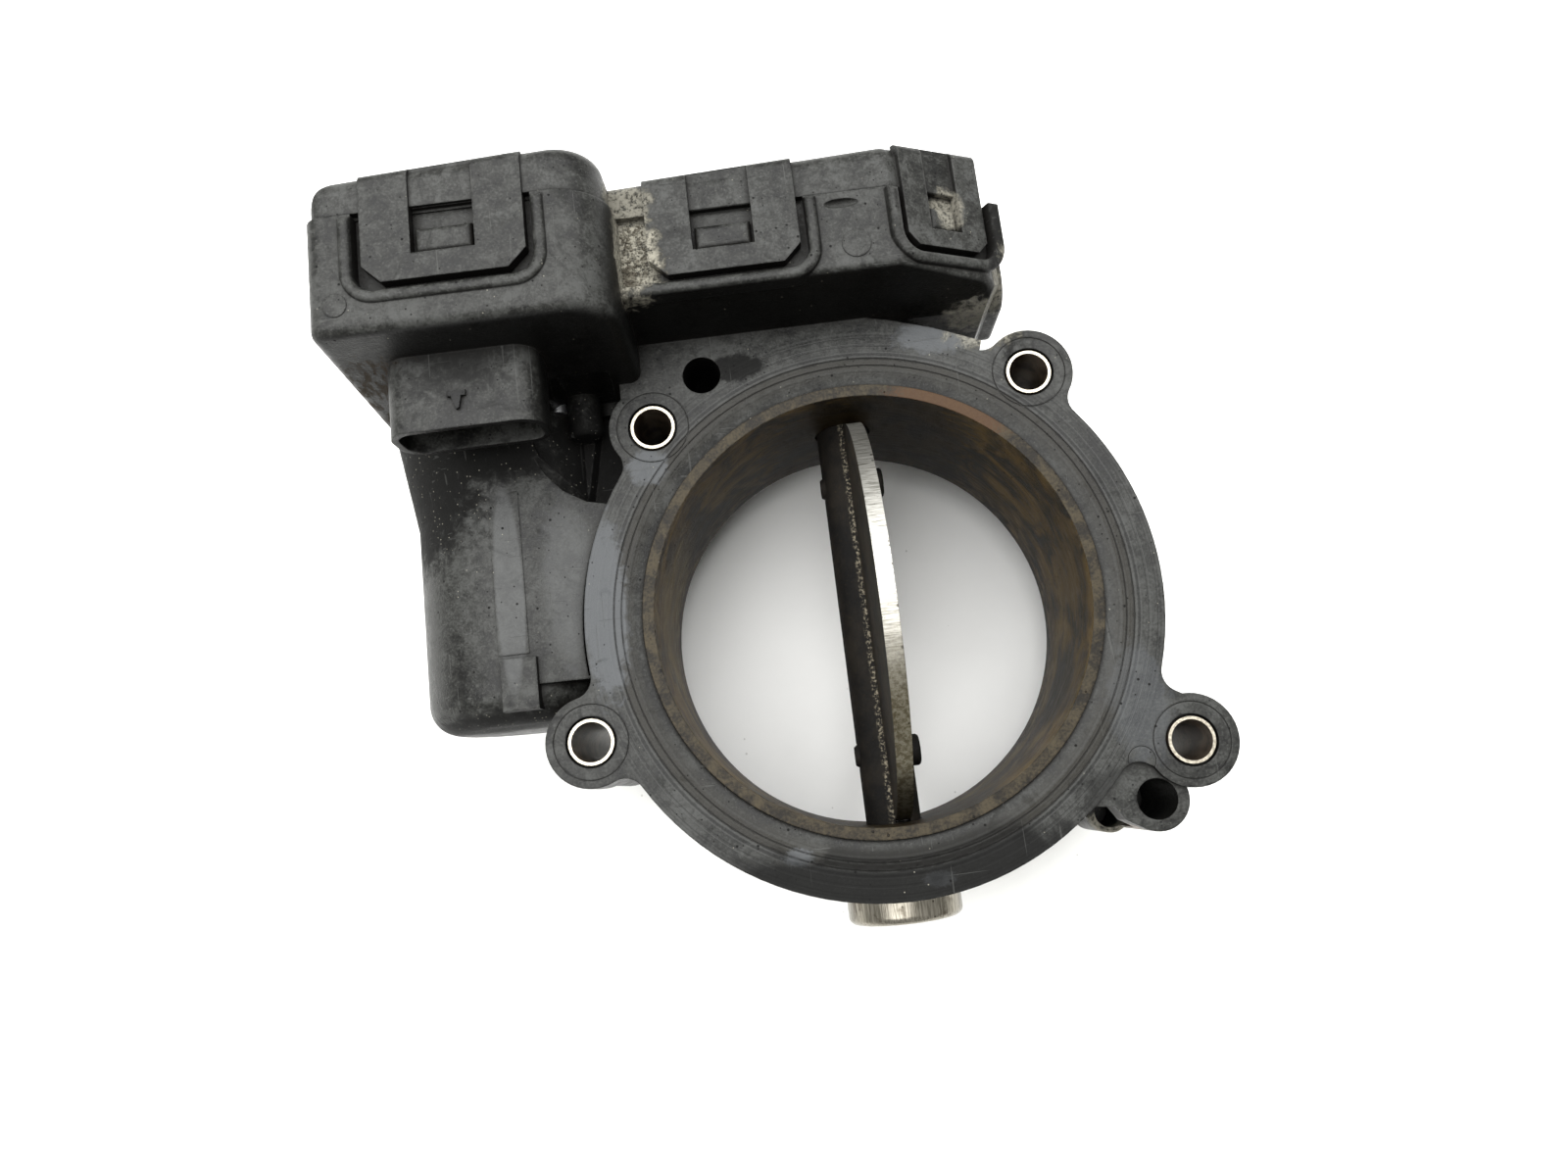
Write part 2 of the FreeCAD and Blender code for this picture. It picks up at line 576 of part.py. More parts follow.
def shaft_seal(y0, y1):
    return ring_y(SHAFT_R + 0.06, 8.0, 0, SHAFT_Z, y0, y1)


def bearing_end_cap():
    low = -54.4
    cup = ycyl(10.25, 0, SHAFT_Z, low, -48.0)
    cup = cup.makeFillet(1.3, edges_at(cup, V(0, 1, 0), low))
    dish = Part.makeCone(6.0, 5.0, 0.5, V(0, low, SHAFT_Z), V(0, 1, 0))
    return cup.cut([ycyl(9.4, 0, SHAFT_Z, low + 1.1, -40.0), dish])


# ---- return spring ----
def return_spring():
    r, wire, pitch, turns = 13.1, 0.7, 1.65, 5
    helix = Part.makeHelix(pitch, pitch * turns, r)
    start = Part.Wire(Part.makeCircle(wire, V(r, 0, 0), V(0, 1, pitch / (2 * math.pi * r))))
    coil = Part.Wire(helix).makePipeShell([start], True, True)
    lower = Part.makeCylinder(wire, 3.4, V(r, 0, 0), V(1, 0, 0))
    upper = Part.makeCylinder(wire, 4.4, V(r, 0, pitch * turns), V(0, 0, 1))
    knee = [Part.makeSphere(wire, V(r, 0, h)) for h in (0, pitch * turns)]
    spring = fuse([coil, lower, upper] + knee)
    spring.rotate(V(0, 0, 0), V(1, 0, 0), -90)
    spring.rotate(V(0, 0, 0), V(0, 1, 0), -90)
    spring.translate(V(0, 45.2, SHAFT_Z))
    return spring


def spring_sleeve():
    return ring_y(11.5, 12.1, 0, SHAFT_Z, 43.5, 52.0)


# ---- gears ----
def sector_gear():
    z = SHAFT_Z
    step = 2 * math.pi / 60
    first = math.radians(174.0) + step / 2
    teeth = 17
    rim = gear_outline(60, MODULE_SLOW, first, teeth)
    lo = first - step / 2
    hi = first + step * (teeth - 0.5)
    rim = [(24 * math.cos(lo), 24 * math.sin(lo))] + rim + [(24 * math.cos(hi), 24 * math.sin(hi))]
    back = [(24 * math.cos(hi - (hi - lo) * k / 12), 24 * math.sin(hi - (hi - lo) * k / 12))
            for k in range(1, 12)]
    rim_solid = prism_y(moved(rim + back, 0, z), 55.0, 60.5)
    fan = [(0.0, 0.0)] + [(25 * math.cos(lo + (hi - lo) * k / 12), 25 * math.sin(lo + (hi - lo) * k / 12))
                          for k in range(13)]
    web = prism_y(moved(fan, 0, z), 55.0, 58.0)
    hub = ycyl(9.0, 0, z, 55.0, 66.0)
    disc = ycyl(15.5, 0, z, 55.0, 58.0)
    body = fuse([rim_solid, web, hub, disc])
    return body.cut([ycyl(6.5, 0, z, 50, 62.5), ycyl(6.0, 0, z, 62.5, 70),
                     ycyl(1.1, 0, z + 13.1, 50, 60)])


def sector_insert():
    return ring_y(4.0, 6.5, 0, SHAFT_Z, 54.7, 62.5)


def sensor_magnet():
    return ycyl(6.0, 0, SHAFT_Z, 62.6, 66.6)


def idler_gear():
    z = SHAFT_Z
    small = prism_y(moved(gear_outline(12, MODULE_SLOW, 0.0, 12), IDLER_X, z), 54.8, 61.6)
    large = prism_y(moved(gear_outline(60, MODULE_FAST, 0.0, 60), IDLER_X, z), 61.4, 66.2)
    dish = ring_y(10.0, 20.5, IDLER_X, z, 64.2, 70)
    body = fuse([small, large, ycyl(7.0, IDLER_X, z, 61.4, 68.6)])
    return body.cut([ycyl(2.05, IDLER_X, z, 50, 75), dish])


def idler_pin():
    return ycyl(2.0, IDLER_X, SHAFT_Z, 46.0, 71.0)


def motor_pinion():
    pinion = prism_y(moved(gear_outline(12, MODULE_FAST, math.radians(15.0), 12), MOTOR_X, SHAFT_Z),
                     60.4, 67.0)
    return pinion.cut(ycyl(1.6, MOTOR_X, SHAFT_Z, 50, 70))


# ---- motor ----
def motor_can():
    can = ycyl(MOTOR_R, MOTOR_X, SHAFT_Z, -9.5, 48.9)
    can = can.makeFillet(1.5, edges_at(can, V(0, 1, 0), -9.5))
    return can.cut([ycyl(13.5, MOTOR_X, SHAFT_Z, -8.0, 60), ycyl(4.0, MOTOR_X, SHAFT_Z, -20, 0)])


def motor_magnets():
    shell = ring_y(10.9, 13.5, MOTOR_X, SHAFT_Z, 4.0, 40.0)
    gaps = box(MOTOR_X - 5, MOTOR_X + 5, 0, 50, SHAFT_Z - 20, SHAFT_Z + 20)
    return shell.cut(gaps)


def armature():
    core = ycyl(10.2, MOTOR_X, SHAFT_Z, 9.0, 36.0)
    slots = []
    for k in range(5):
        slot = box(5.0, 12.0, 8.0, 37.0, -0.9, 0.9)
        pocket = ycyl(2.6, 6.6, 0, 8.0, 37.0)
        tool = fuse([slot, pocket])
        tool.rotate(V(0, 0, 0), V(0, 1, 0), 72 * k)
        tool.translate(V(MOTOR_X, 0, SHAFT_Z))
        slots.append(tool)
    return core.cut(slots + [ycyl(1.6, MOTOR_X, SHAFT_Z, 0, 50)])


def armature_windings():
    ends = [ring_y(2.4, 9.2, MOTOR_X, SHAFT_Z, y0, y0 + 4.5) for y0 in (4.5, 36.0)]
    coils = []
    for k in range(5):
        coil = ycyl(2.4, 6.6, 0, 9.0, 36.0)
        coil.rotate(V(0, 0, 0), V(0, 1, 0), 72 * k)
        coil.translate(V(MOTOR_X, 0, SHAFT_Z))
        coils.append(coil)
    return fuse(ends + coils)


def commutator():
    return ring_y(1.6, 4.5, MOTOR_X, SHAFT_Z, 41.2, 45.6)


def motor_shaft():
    return ycyl(1.6, MOTOR_X, SHAFT_Z, -8.6, 67.4)


def motor_bushes():
    return Part.makeCompound([ring_y(1.63, 4.0, MOTOR_X, SHAFT_Z, -9.5, -5.0),
                              ring_y(1.63, 4.0, MOTOR_X, SHAFT_Z, 46.4, 51.4)])


TERMINALS = [(MOTOR_X - 6.0, SHAFT_Z + 10.0), (MOTOR_X + 6.0, SHAFT_Z + 10.0)]


def terminal_slots(grow):
    return [box(x - 1.4 - grow, x + 1.4 + grow, 46.0, 58.0, z - 0.4 - grow, z + 0.4 + grow)
            for x, z in TERMINALS]


def brush_holder():
    disc = ycyl(13.4, MOTOR_X, SHAFT_Z, 46.4, 48.9)
    return disc.cut([ycyl(4.0, MOTOR_X, SHAFT_Z, 40, 60)] + terminal_slots(0))


def motor_brushes():
    return Part.makeCompound([box(MOTOR_X + 4.6, MOTOR_X + 9.6, 41.8, 45.0, SHAFT_Z - 1.5, SHAFT_Z + 1.5),
                              box(MOTOR_X - 9.6, MOTOR_X - 4.6, 41.8, 45.0, SHAFT_Z - 1.5,
                                  SHAFT_Z + 1.5)])


def motor_terminals():
    return Part.makeCompound(terminal_slots(0))


def motor_bracket():
    plate = fuse([ycyl(15.9, MOTOR_X, SHAFT_Z, 48.9, 50.4)] + [ycyl(3.3, x, z, 48.9, 50.4) for x, z in EARS])
    holes = [ycyl(4.0, MOTOR_X, SHAFT_Z, 40, 60)] + [ycyl(1.7, x, z, 40, 60) for x, z in EARS]
    return plate.cut(holes + terminal_slots(0.6))


def motor_screws():
    screws = []
    for x, z in EARS:
        head = ycyl(2.8, x, z, 50.4, 52.2)
        head = head.makeFillet(0.6, edges_at(head, V(0, 1, 0), 52.2))
        screws.append(fuse([head, ycyl(1.5, x, z, 43.6, 50.6)]))
    return Part.makeCompound(screws)


def wave_spring():
    return ring_y(8.0, 12.5, MOTOR_X, SHAFT_Z, -10.05, -9.55)


# ---- electrics ----
def connector_pins():
    return Part.makeCompound([box(x - 0.4, x + 0.4, 40.0, 57.0, PIN_Z - 0.3, PIN_Z + 0.3)
                              for x in PIN_X])


def terminal_carrier():
    block = box(CONN_X[0] + 1.5, CONN_X[1] - 1.5, 51.0, 54.5, PIN_Z - 4, PIN_Z + 4)
    return block.cut(connector_pins())


def sensor_board():
    return box(-18.0, 14.0, 71.5, COVER_TOP - 2.5, SHAFT_Z - 13, SHAFT_Z + 13)


def hall_sensor():
    return box(-3.0, 3.0, 70.3, 71.5, SHAFT_Z - 2.5, SHAFT_Z + 2.5)


def main():
    export("housing", housing())
    export("bore_liner", bore_liner())
    export("compression_sleeves", compression_sleeves())
    export("gear_cover", gear_cover())
    export("cover_seal", cover_seal())
    export("throttle_shaft", throttle_shaft())
    export("throttle_plate", throttle_plate())
    export("plate_screws", plate_screws())
    export("upper_shaft_bearing", ball_bearing(45.0, 50.0))
    export("lower_shaft_bearing", lower_shaft_bearing())
    export("upper_shaft_seal", shaft_seal(42.0, 45.0))
    export("lower_shaft_seal", shaft_seal(-44.0, -41.5))
    export("bearing_end_cap", bearing_end_cap())
    export("return_spring", return_spring())
    export("spring_sleeve", spring_sleeve())
    export("sector_gear", sector_gear())
    export("sector_insert", sector_insert())
    export("sensor_magnet", sensor_magnet())
    export("idler_gear", idler_gear())
    export("idler_pin", idler_pin())
    export("motor_pinion", motor_pinion())
    export("motor_can", motor_can())
    export("motor_magnets", motor_magnets())
    export("armature", armature())
    export("armature_windings", armature_windings())
    export("commutator", commutator())
    export("motor_shaft", motor_shaft())
    export("motor_bushes", motor_bushes())
    export("brush_holder", brush_holder())
    export("motor_brushes", motor_brushes())
    export("motor_terminals", motor_terminals())
    export("motor_bracket", motor_bracket())
    export("motor_screws", motor_screws())
    export("wave_spring", wave_spring())
    export("connector_pins", connector_pins())
    export("terminal_carrier", terminal_carrier())
    export("sensor_board", sensor_board())
    export("hall_sensor", hall_sensor())


main()
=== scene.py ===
"""Looks of the throttle body: materials, small loose detail, floor, light and camera."""
import math
import random

import bmesh
import bpy
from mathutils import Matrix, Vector


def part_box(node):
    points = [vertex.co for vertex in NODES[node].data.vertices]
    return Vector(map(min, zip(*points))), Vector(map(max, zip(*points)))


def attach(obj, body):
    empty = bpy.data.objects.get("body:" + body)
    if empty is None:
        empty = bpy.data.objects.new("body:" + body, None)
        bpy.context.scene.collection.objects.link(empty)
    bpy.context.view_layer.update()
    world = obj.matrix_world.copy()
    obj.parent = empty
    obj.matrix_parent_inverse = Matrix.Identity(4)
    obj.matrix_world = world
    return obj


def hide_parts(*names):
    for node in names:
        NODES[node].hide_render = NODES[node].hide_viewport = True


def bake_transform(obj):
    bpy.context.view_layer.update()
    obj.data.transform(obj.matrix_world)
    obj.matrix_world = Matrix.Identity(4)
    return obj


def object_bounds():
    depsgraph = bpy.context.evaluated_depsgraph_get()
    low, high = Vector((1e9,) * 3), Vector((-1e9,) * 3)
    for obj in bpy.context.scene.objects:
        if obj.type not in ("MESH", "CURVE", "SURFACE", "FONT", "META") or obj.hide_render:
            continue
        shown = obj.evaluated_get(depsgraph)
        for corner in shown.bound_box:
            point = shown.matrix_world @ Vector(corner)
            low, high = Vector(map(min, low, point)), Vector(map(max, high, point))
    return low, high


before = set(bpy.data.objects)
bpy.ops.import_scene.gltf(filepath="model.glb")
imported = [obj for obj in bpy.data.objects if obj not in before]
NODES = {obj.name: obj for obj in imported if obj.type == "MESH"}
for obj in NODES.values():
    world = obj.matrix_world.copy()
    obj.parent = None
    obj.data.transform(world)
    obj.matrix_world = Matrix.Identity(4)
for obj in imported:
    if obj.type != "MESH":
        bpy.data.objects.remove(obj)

CAD_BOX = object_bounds()
MM = 0.001


def near(node, x, y, z):
    """A place x, y and z millimetres from the centre of a node's box, in metres."""
    low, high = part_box(node)
    return tuple((Vector(low) + Vector(high)) / 2 + Vector((x, y, z)) * MM)


def mm(x, y, z):
    return (x * MM, y * MM, z * MM)


# ------------------------------------------------------------------ shader graphs

RIM_UNEVENNESS = 1.2    # how far a noise pushes the rim of a patch in and out


class Graph:
    """One procedural material. Each method adds a node and returns its output socket."""

    def __init__(self, name, **constants):
        self.material = bpy.data.materials.new(name)
        self.material.use_nodes = True
        self.tree = self.material.node_tree
        self.shader = self.tree.nodes["Principled BSDF"]
        for socket, value in constants.items():
            self.shader.inputs[socket.replace("_", " ")].default_value = value
        on_piece = self.node("ShaderNodeTexCoord").outputs
        self.place, self.facing = on_piece["Object"], on_piece["Normal"]
        self.surface = self.node("ShaderNodeNewGeometry").outputs["Normal"]

    def node(self, kind, inputs=(), **settings):
        made = self.tree.nodes.new(kind)
        for name, value in settings.items():
            setattr(made, name, value)
        for key, value in dict(inputs).items():
            if isinstance(value, bpy.types.NodeSocket):
                self.tree.links.new(value, made.inputs[key])
            else:
                made.inputs[key].default_value = value
        return made

    def math(self, operation, a, b=0.0):
        return self.node("ShaderNodeMath", {0: a, 1: b}, operation=operation).outputs[0]

    def vector_math(self, operation, *values):
        inputs = dict(enumerate(values))
        return self.node("ShaderNodeVectorMath", inputs, operation=operation).outputs

    def times(self, *values):
        product = values[0]
        for value in values[1:]:
            product = self.math("MULTIPLY", product, value)
        return product

    def either(self, *values):
        largest = values[0]
        for value in values[1:]:
            largest = self.math("MAXIMUM", largest, value)
        return largest

    def rise(self, value, low, high):
        """0 below low and 1 above high, smooth between; falls instead where low > high."""
        inputs = {"Value": value, "From Min": low, "From Max": high}
        return self.node("ShaderNodeMapRange", inputs, interpolation_type="SMOOTHSTEP").outputs[0]

    def mixed(self, *shares):
        """Sum of several noises, each times its share."""
        total = None
        for noise, share in reversed(shares):
            part = self.times(noise, share)
            total = part if total is None else self.math("ADD", part, total)
        return total

    def blend(self, factor, a, b):
        mix = self.node("ShaderNodeMix", data_type="RGBA")
        for socket, value in ((mix.inputs[0], factor), (mix.inputs[6], a), (mix.inputs[7], b)):
            if isinstance(value, bpy.types.NodeSocket):
                self.tree.links.new(value, socket)
            elif isinstance(value, tuple):
                socket.default_value = (*value, 1.0)
            else:
                socket.default_value = value
        return mix.outputs[2]

    def stretched(self, stretch, turn=(0, 0, 0)):
        inputs = {"Vector": self.place, "Scale": stretch, "Rotation": turn}
        return self.node("ShaderNodeMapping", inputs).outputs[0]

    def noise(self, size_mm, detail=4.0, roughness=0.55, stretch=(1, 1, 1), turn=(0, 0, 0),
              warp=0.0):
        """Cloudy noise whose features are about size_mm wide, shorter where stretch is large."""
        inputs = {"Vector": self.stretched(stretch, turn), "Scale": 1 / (size_mm * MM),
                  "Detail": detail, "Roughness": roughness, "Distortion": warp}
        return self.node("ShaderNodeTexNoise", inputs).outputs["Fac"]

    def line_noise(self, along, size_mm, detail=3.0):
        """Noise that changes only with one length, such as rings round an axis."""
        inputs = {"W": along, "Scale": 1 / (size_mm * MM), "Detail": detail}
        return self.node("ShaderNodeTexNoise", inputs, noise_dimensions="1D").outputs["Fac"]

    def specks(self, pitch_mm, size, share):
        """Sharp dots: one cell in 1/share holds one, of radius size times the pitch."""
        inputs = {"Vector": self.place, "Scale": 1 / (pitch_mm * MM)}
        cells = self.node("ShaderNodeTexVoronoi", inputs)
        chosen = self.rise(self.split(cells.outputs["Color"])[0], 1 - share, 1 - share + 0.01)
        return self.times(chosen, self.rise(cells.outputs["Distance"], size, size * 0.6))

    def split(self, vector):
        return self.node("ShaderNodeSeparateXYZ", {"Vector": vector}).outputs

    def distance(self, centre, radii):
        """1 on the surface of the ellipsoid with these radii, 0 at its centre (metres)."""
        moved = self.vector_math("SUBTRACT", self.place, centre)[0]
        scaled = self.vector_math("DIVIDE", moved, radii)[0]
        return self.vector_math("LENGTH", scaled)["Value"]

    def patch(self, node, at, radii, ragged=None, soft=0.35):
        """A soft patch, in mm from the centre of a node's box; the noise ragged breaks its rim."""
        reach = self.distance(near(node, *at), mm(*radii))
        if ragged is not None:
            uneven = self.math("MULTIPLY", self.math("SUBTRACT", ragged, 0.5), RIM_UNEVENNESS)
            reach = self.math("ADD", reach, uneven)
        return self.rise(reach, 1.0, 1.0 - soft)

    def rounded(self, radius_mm):
        """Surface normal with every sharp edge softened to this radius."""
        return self.node("ShaderNodeBevel", {"Radius": radius_mm * MM}, samples=4).outputs[0]

    def edges(self, rounded, strength=6.0):
        """1 on sharp edges, 0 on flats, from the rounded normal."""
        turned = self.vector_math("DOT_PRODUCT", rounded, self.surface)["Value"]
        away = self.times(self.math("SUBTRACT", 1.0, turned), strength)
        return self.node("ShaderNodeClamp", {0: away}).outputs[0]

    def hollows(self, reach_mm, low=0.35, high=0.85):
        """1 deep in corners and recesses, 0 in the open."""
        inputs = {"Distance": reach_mm * MM}
        open_share = self.node("ShaderNodeAmbientOcclusion", inputs, samples=4).outputs["AO"]
        return self.rise(open_share, high, low)

    def bump(self, height, depth_mm, below=None):
        inputs = {"Height": height, "Distance": depth_mm * MM, "Strength": 1.0}
        if below is not None:
            inputs["Normal"] = below
        return self.node("ShaderNodeBump", inputs).outputs[0]

    def between(self, factor, low, high):
        inputs = {"Value": factor, "To Min": low, "To Max": high}
        return self.node("ShaderNodeMapRange", inputs).outputs[0]

    def finish(self, colour=None, roughness=None, metallic=None, normal=None):
        wanted = {"Base Color": colour, "Roughness": roughness, "Metallic": metallic,
                  "Normal": normal}
        for socket, value in wanted.items():
            if value is not None:
                self.tree.links.new(value, self.shader.inputs[socket])
        return self.material


# ------------------------------------------------------------------ the moulded plastic

# Near-black for oil, also laid on as painted shade on undersides and shaded places.
PLASTIC_OIL_AND_SHADE = (0.0012, 0.0011, 0.0009)
PLASTIC_DARK = (0.0040, 0.0040, 0.0037)
PLASTIC_WORN = (0.0210, 0.0213, 0.0192)
PLASTIC_SCUFF = (0.046, 0.047, 0.045)
# Light grey for worn edges with their painted highlight, and for scratches.
PLASTIC_RUBBED_AND_HIGHLIGHT = (0.062, 0.063, 0.060)
# Pale grey for wear on the flange, also a painted reflection.
FLANGE_PALE_AND_REFLECTION = (0.066, 0.070, 0.074)
# Light grey for the painted highlight on the bulge.
BULGE_HIGHLIGHT = (0.076, 0.078, 0.078)
LIP_STAIN = (0.0125, 0.0110, 0.0075)
# Near-black for grimy dirt and painted shade in corners.
CORNER_GRIME_AND_SHADE = (0.0030, 0.0024, 0.0017)
SAND = (0.320, 0.303, 0.248)
EARTH = (0.030, 0.022, 0.014)
# Near-black for sooty pits and the latch nib, also painted shade on the flange bottom.
SOOT_AND_SHADE = (0.0010, 0.0009, 0.0008)
FLECK = (0.20, 0.19, 0.155)
RUST = (0.16, 0.115, 0.082)

FACE_Z = 19.3           # the flange face, above the centre of the liner's box


class Plastic(Graph):
    """Black glass-filled plastic: a worn grey film where it faces out, oil and sooty smudges below,
    with painted shade and painted highlights laid into its colour.
    """

    def __init__(self, name):
        super().__init__(name, Specular_IOR_Level=0.18)
        self.z = self.split(self.place)[2]
        self.up = self.split(self.facing)[2]
        self.cloud = self.noise(14, detail=6, roughness=0.6, warp=0.6)
        self.mottle = self.noise(2.2, detail=6, roughness=0.7, warp=0.5)
        self.grain = self.noise(0.45, detail=3, roughness=0.7)
        self.film_noise = self.mixed((self.cloud, 0.36), (self.mottle, 0.42), (self.grain, 0.22))
        self.faces_out = self.rise(self.up, 0.20, 0.85)
        self.colour = PLASTIC_DARK

    def paint(self, mask, colour):
        """Lays a colour over what is there, as far as the mask shows it."""
        self.colour = self.blend(mask, self.colour, colour)

    def film(self, strength):
        """Oil and painted shade on the undersides, a mottled grey film outside. Returns the dark
        blotches.
        """
        front = self.split(self.facing)[1]
        faces_down = self.times(self.rise(front, -0.25, -0.85), self.rise(self.up, 0.75, 0.3))
        self.paint(self.times(self.faces_out, self.rise(self.film_noise, 0.41, 0.55)), PLASTIC_WORN)
        # Oil and painted shade: faces turned down are painted near-black.
        self.paint(faces_down, PLASTIC_OIL_AND_SHADE)
        worn_through = self.rise(self.film_noise, 0.49, 0.61)
        self.paint(self.times(self.faces_out, worn_through, strength), PLASTIC_SCUFF)
        blotch = self.noise(6, detail=6, roughness=0.7, warp=1.2)
        dirty = self.rise(self.mixed((blotch, 0.7), (self.mottle, 0.3)), 0.53, 0.64)
        dirty = self.times(dirty, self.faces_out, 0.45)
        self.paint(dirty, PLASTIC_DARK)
        speckle = self.times(self.rise(self.grain, 0.56, 0.70), self.faces_out, 0.5)
        self.paint(speckle, PLASTIC_SCUFF)
        return dirty

    def flange(self):
        """Turning lines, stains and wear on the flange face, with a painted reflection in its
        lighter patches and painted shade across its bottom. Returns the lines and the sooty smudges
        with that painted shade.
        """
        flat = self.vector_math("MULTIPLY", self.place, (1, 1, 0))[0]
        radius = self.vector_math("LENGTH", flat)["Value"]
        on_flange = self.times(
            self.rise(self.z, -0.6 * MM, -0.2 * MM),
            self.rise(self.z, 0.6 * MM, 0.3 * MM),
            self.rise(self.up, 0.93, 0.99),
        )
        rings = self.line_noise(radius, 0.50, detail=6)
        turned = self.times(on_flange, self.rise(radius, 50.5 * MM, 48 * MM))
        self.paint(self.times(turned, self.rise(rings, 0.52, 0.68), 0.45), PLASTIC_SCUFF)
        self.paint(self.times(turned, self.rise(rings, 0.47, 0.34), 0.65), PLASTIC_DARK)
        lip = self.times(on_flange, self.rise(radius, 44.9 * MM, 44.0 * MM))
        self.paint(self.times(lip, self.between(self.mottle, 0.3, 1.0)), LIP_STAIN)
        # Lighter wear on the flange face, partly a painted reflection of the lamp.
        pale_and_reflection = self.either(
            self.patch("motor_can", (18.8, -13.7, 20), (5, 20, 3), self.mottle),
            self.patch("bore_liner", (19, 47, FACE_Z), (10, 4, 3), self.mottle),
            self.patch("bore_liner", (-36, 29, FACE_Z), (4, 4, 3), self.mottle),
            self.patch("bore_liner", (-17.5, -40.5, FACE_Z), (2.8, 1.8, 3), self.grain),
            self.patch("bore_liner", (5, -46.5, FACE_Z), (3.2, 1.5, 3), self.grain),
            self.times(self.patch("bore_liner", (42, -22, FACE_Z), (6, 12, 3), self.mottle), 0.5),
        )
        self.paint(self.times(pale_and_reflection, on_flange, 0.75), FLANGE_PALE_AND_REFLECTION)
        # Sooty smudges, with painted shade across the bottom of the flange.
        smear_and_shade = self.either(
            self.patch("bore_liner", (-18.5, 45.4, FACE_Z), (6, 2.8, 3), self.mottle),
            self.patch("bore_liner", (0, -49, FACE_Z), (50, 13, 3), self.cloud),
            self.times(self.patch("bore_liner", (37, -36, FACE_Z), (9, 5, 3), self.mottle), 0.6),
        )
        smear_and_shade = self.times(smear_and_shade, on_flange, self.between(self.mottle, 0.7, 1.0))
        self.paint(self.times(smear_and_shade, 0.95), SOOT_AND_SHADE)
        return self.times(rings, turned), smear_and_shade

    def bulge(self):
        """The bulge over the motor: a long light band that is a painted highlight, and dark ends of
        oil and painted shade, which are returned.
        """
        # Painted highlight: a long light band down the middle of the bulge.
        beside = self.patch("motor_can", (12.8, -8.7, 17), (6.0, 19, 3), self.mottle, 0.5)
        highlight_strip = self.either(
            self.patch("motor_can", (2.3, -9.7, 18), (2.8, 21, 3), soft=0.2),
            self.times(beside, 0.85),
        )
        highlight_strip = self.times(highlight_strip, self.rise(self.up, 0.9, 0.99))
        self.paint(self.times(highlight_strip, self.between(self.mottle, 0.5, 1.0), 0.6), BULGE_HIGHLIGHT)
        # Oil and painted shade: the bulge's ends and the pocket beside it are painted near-black.
        oil_and_shade_ends = self.either(
            self.patch("motor_can", (-12.2, 11.3, 12), (16, 17, 18), self.mottle, 0.45),
            self.patch("motor_can", (16.8, 16.3, 8), (10, 14, 16), self.mottle, 0.45),
            self.patch("motor_can", (-1.2, -32.7, 10), (24, 5, 14), self.mottle, 0.6),
            self.patch("motor_can", (18.8, -27.7, 10), (7, 4, 8), self.mottle, 0.5),
            self.patch("motor_can", (0.8, 15.3, 18), (20, 6.5, 10), self.mottle, 0.55),
        )
        self.paint(self.times(oil_and_shade_ends, 0.92), PLASTIC_OIL_AND_SHADE)
        return oil_and_shade_ends

    def boxes(self):
        """Painted shade on the connector, darker towards the box, a black latch nib, and oil on the
        end wall of the gear housing.
        """
        # Painted shade: the connector is painted darker towards the box above it.
        connector = self.patch("motor_can", (1.8, 28.3, 37.5), (17, 12, 6), self.mottle, 0.8)
        self.paint(self.times(connector, 0.85), PLASTIC_OIL_AND_SHADE)
        end_wall = self.patch("idler_gear", (67, -3, 20), (5, 22, 16), self.mottle, 0.5)
        self.paint(self.times(end_wall, 0.85), PLASTIC_OIL_AND_SHADE)
        nib = self.patch("motor_can", (1.1, 18.9, 38.2), (2.6, 2.8, 0.45), soft=0.1)
        self.paint(self.times(nib, 0.9), SOOT_AND_SHADE)
        return self.either(self.times(connector, 0.7), end_wall)

    def corners(self, soft_normal):
        """Edges worn grey with a painted highlight, and corners darkened with grimy dirt and
        painted shade, which is returned.
        """
        # Wear and painted highlight: edges facing up are painted light grey.
        rubbed_and_highlit = self.times(self.edges(soft_normal, 5.0), self.rise(self.up, -0.1, 0.5))
        self.paint(self.times(rubbed_and_highlit, self.rise(self.mottle, 0.36, 0.60), 0.65), PLASTIC_RUBBED_AND_HIGHLIGHT)
        # Grimy dirt and painted shade: the occlusion mask darkens corners and recesses.
        grime_and_shade = self.times(self.hollows(2.4, 0.45, 0.92), self.rise(self.mottle, 0.25, 0.55))
        self.paint(self.times(grime_and_shade, 0.9), CORNER_GRIME_AND_SHADE)
        return grime_and_shade

    def specks_and_pits(self, oil_and_shade_ends):
        """Pale flecks and black grains; the black ones are returned."""
        fleck = self.either(
            self.times(self.specks(1.0, 0.13, 0.10), self.rise(self.cloud, 0.42, 0.60)),
            self.times(self.specks(0.6, 0.24, 0.16), oil_and_shade_ends),
        )
        self.paint(self.times(fleck, 0.85), FLECK)
        pits = self.either(self.specks(1.7, 0.17, 0.16), self.specks(0.8, 0.22, 0.10))
        self.paint(self.times(pits, self.faces_out, 0.9), SOOT_AND_SHADE)
        return pits

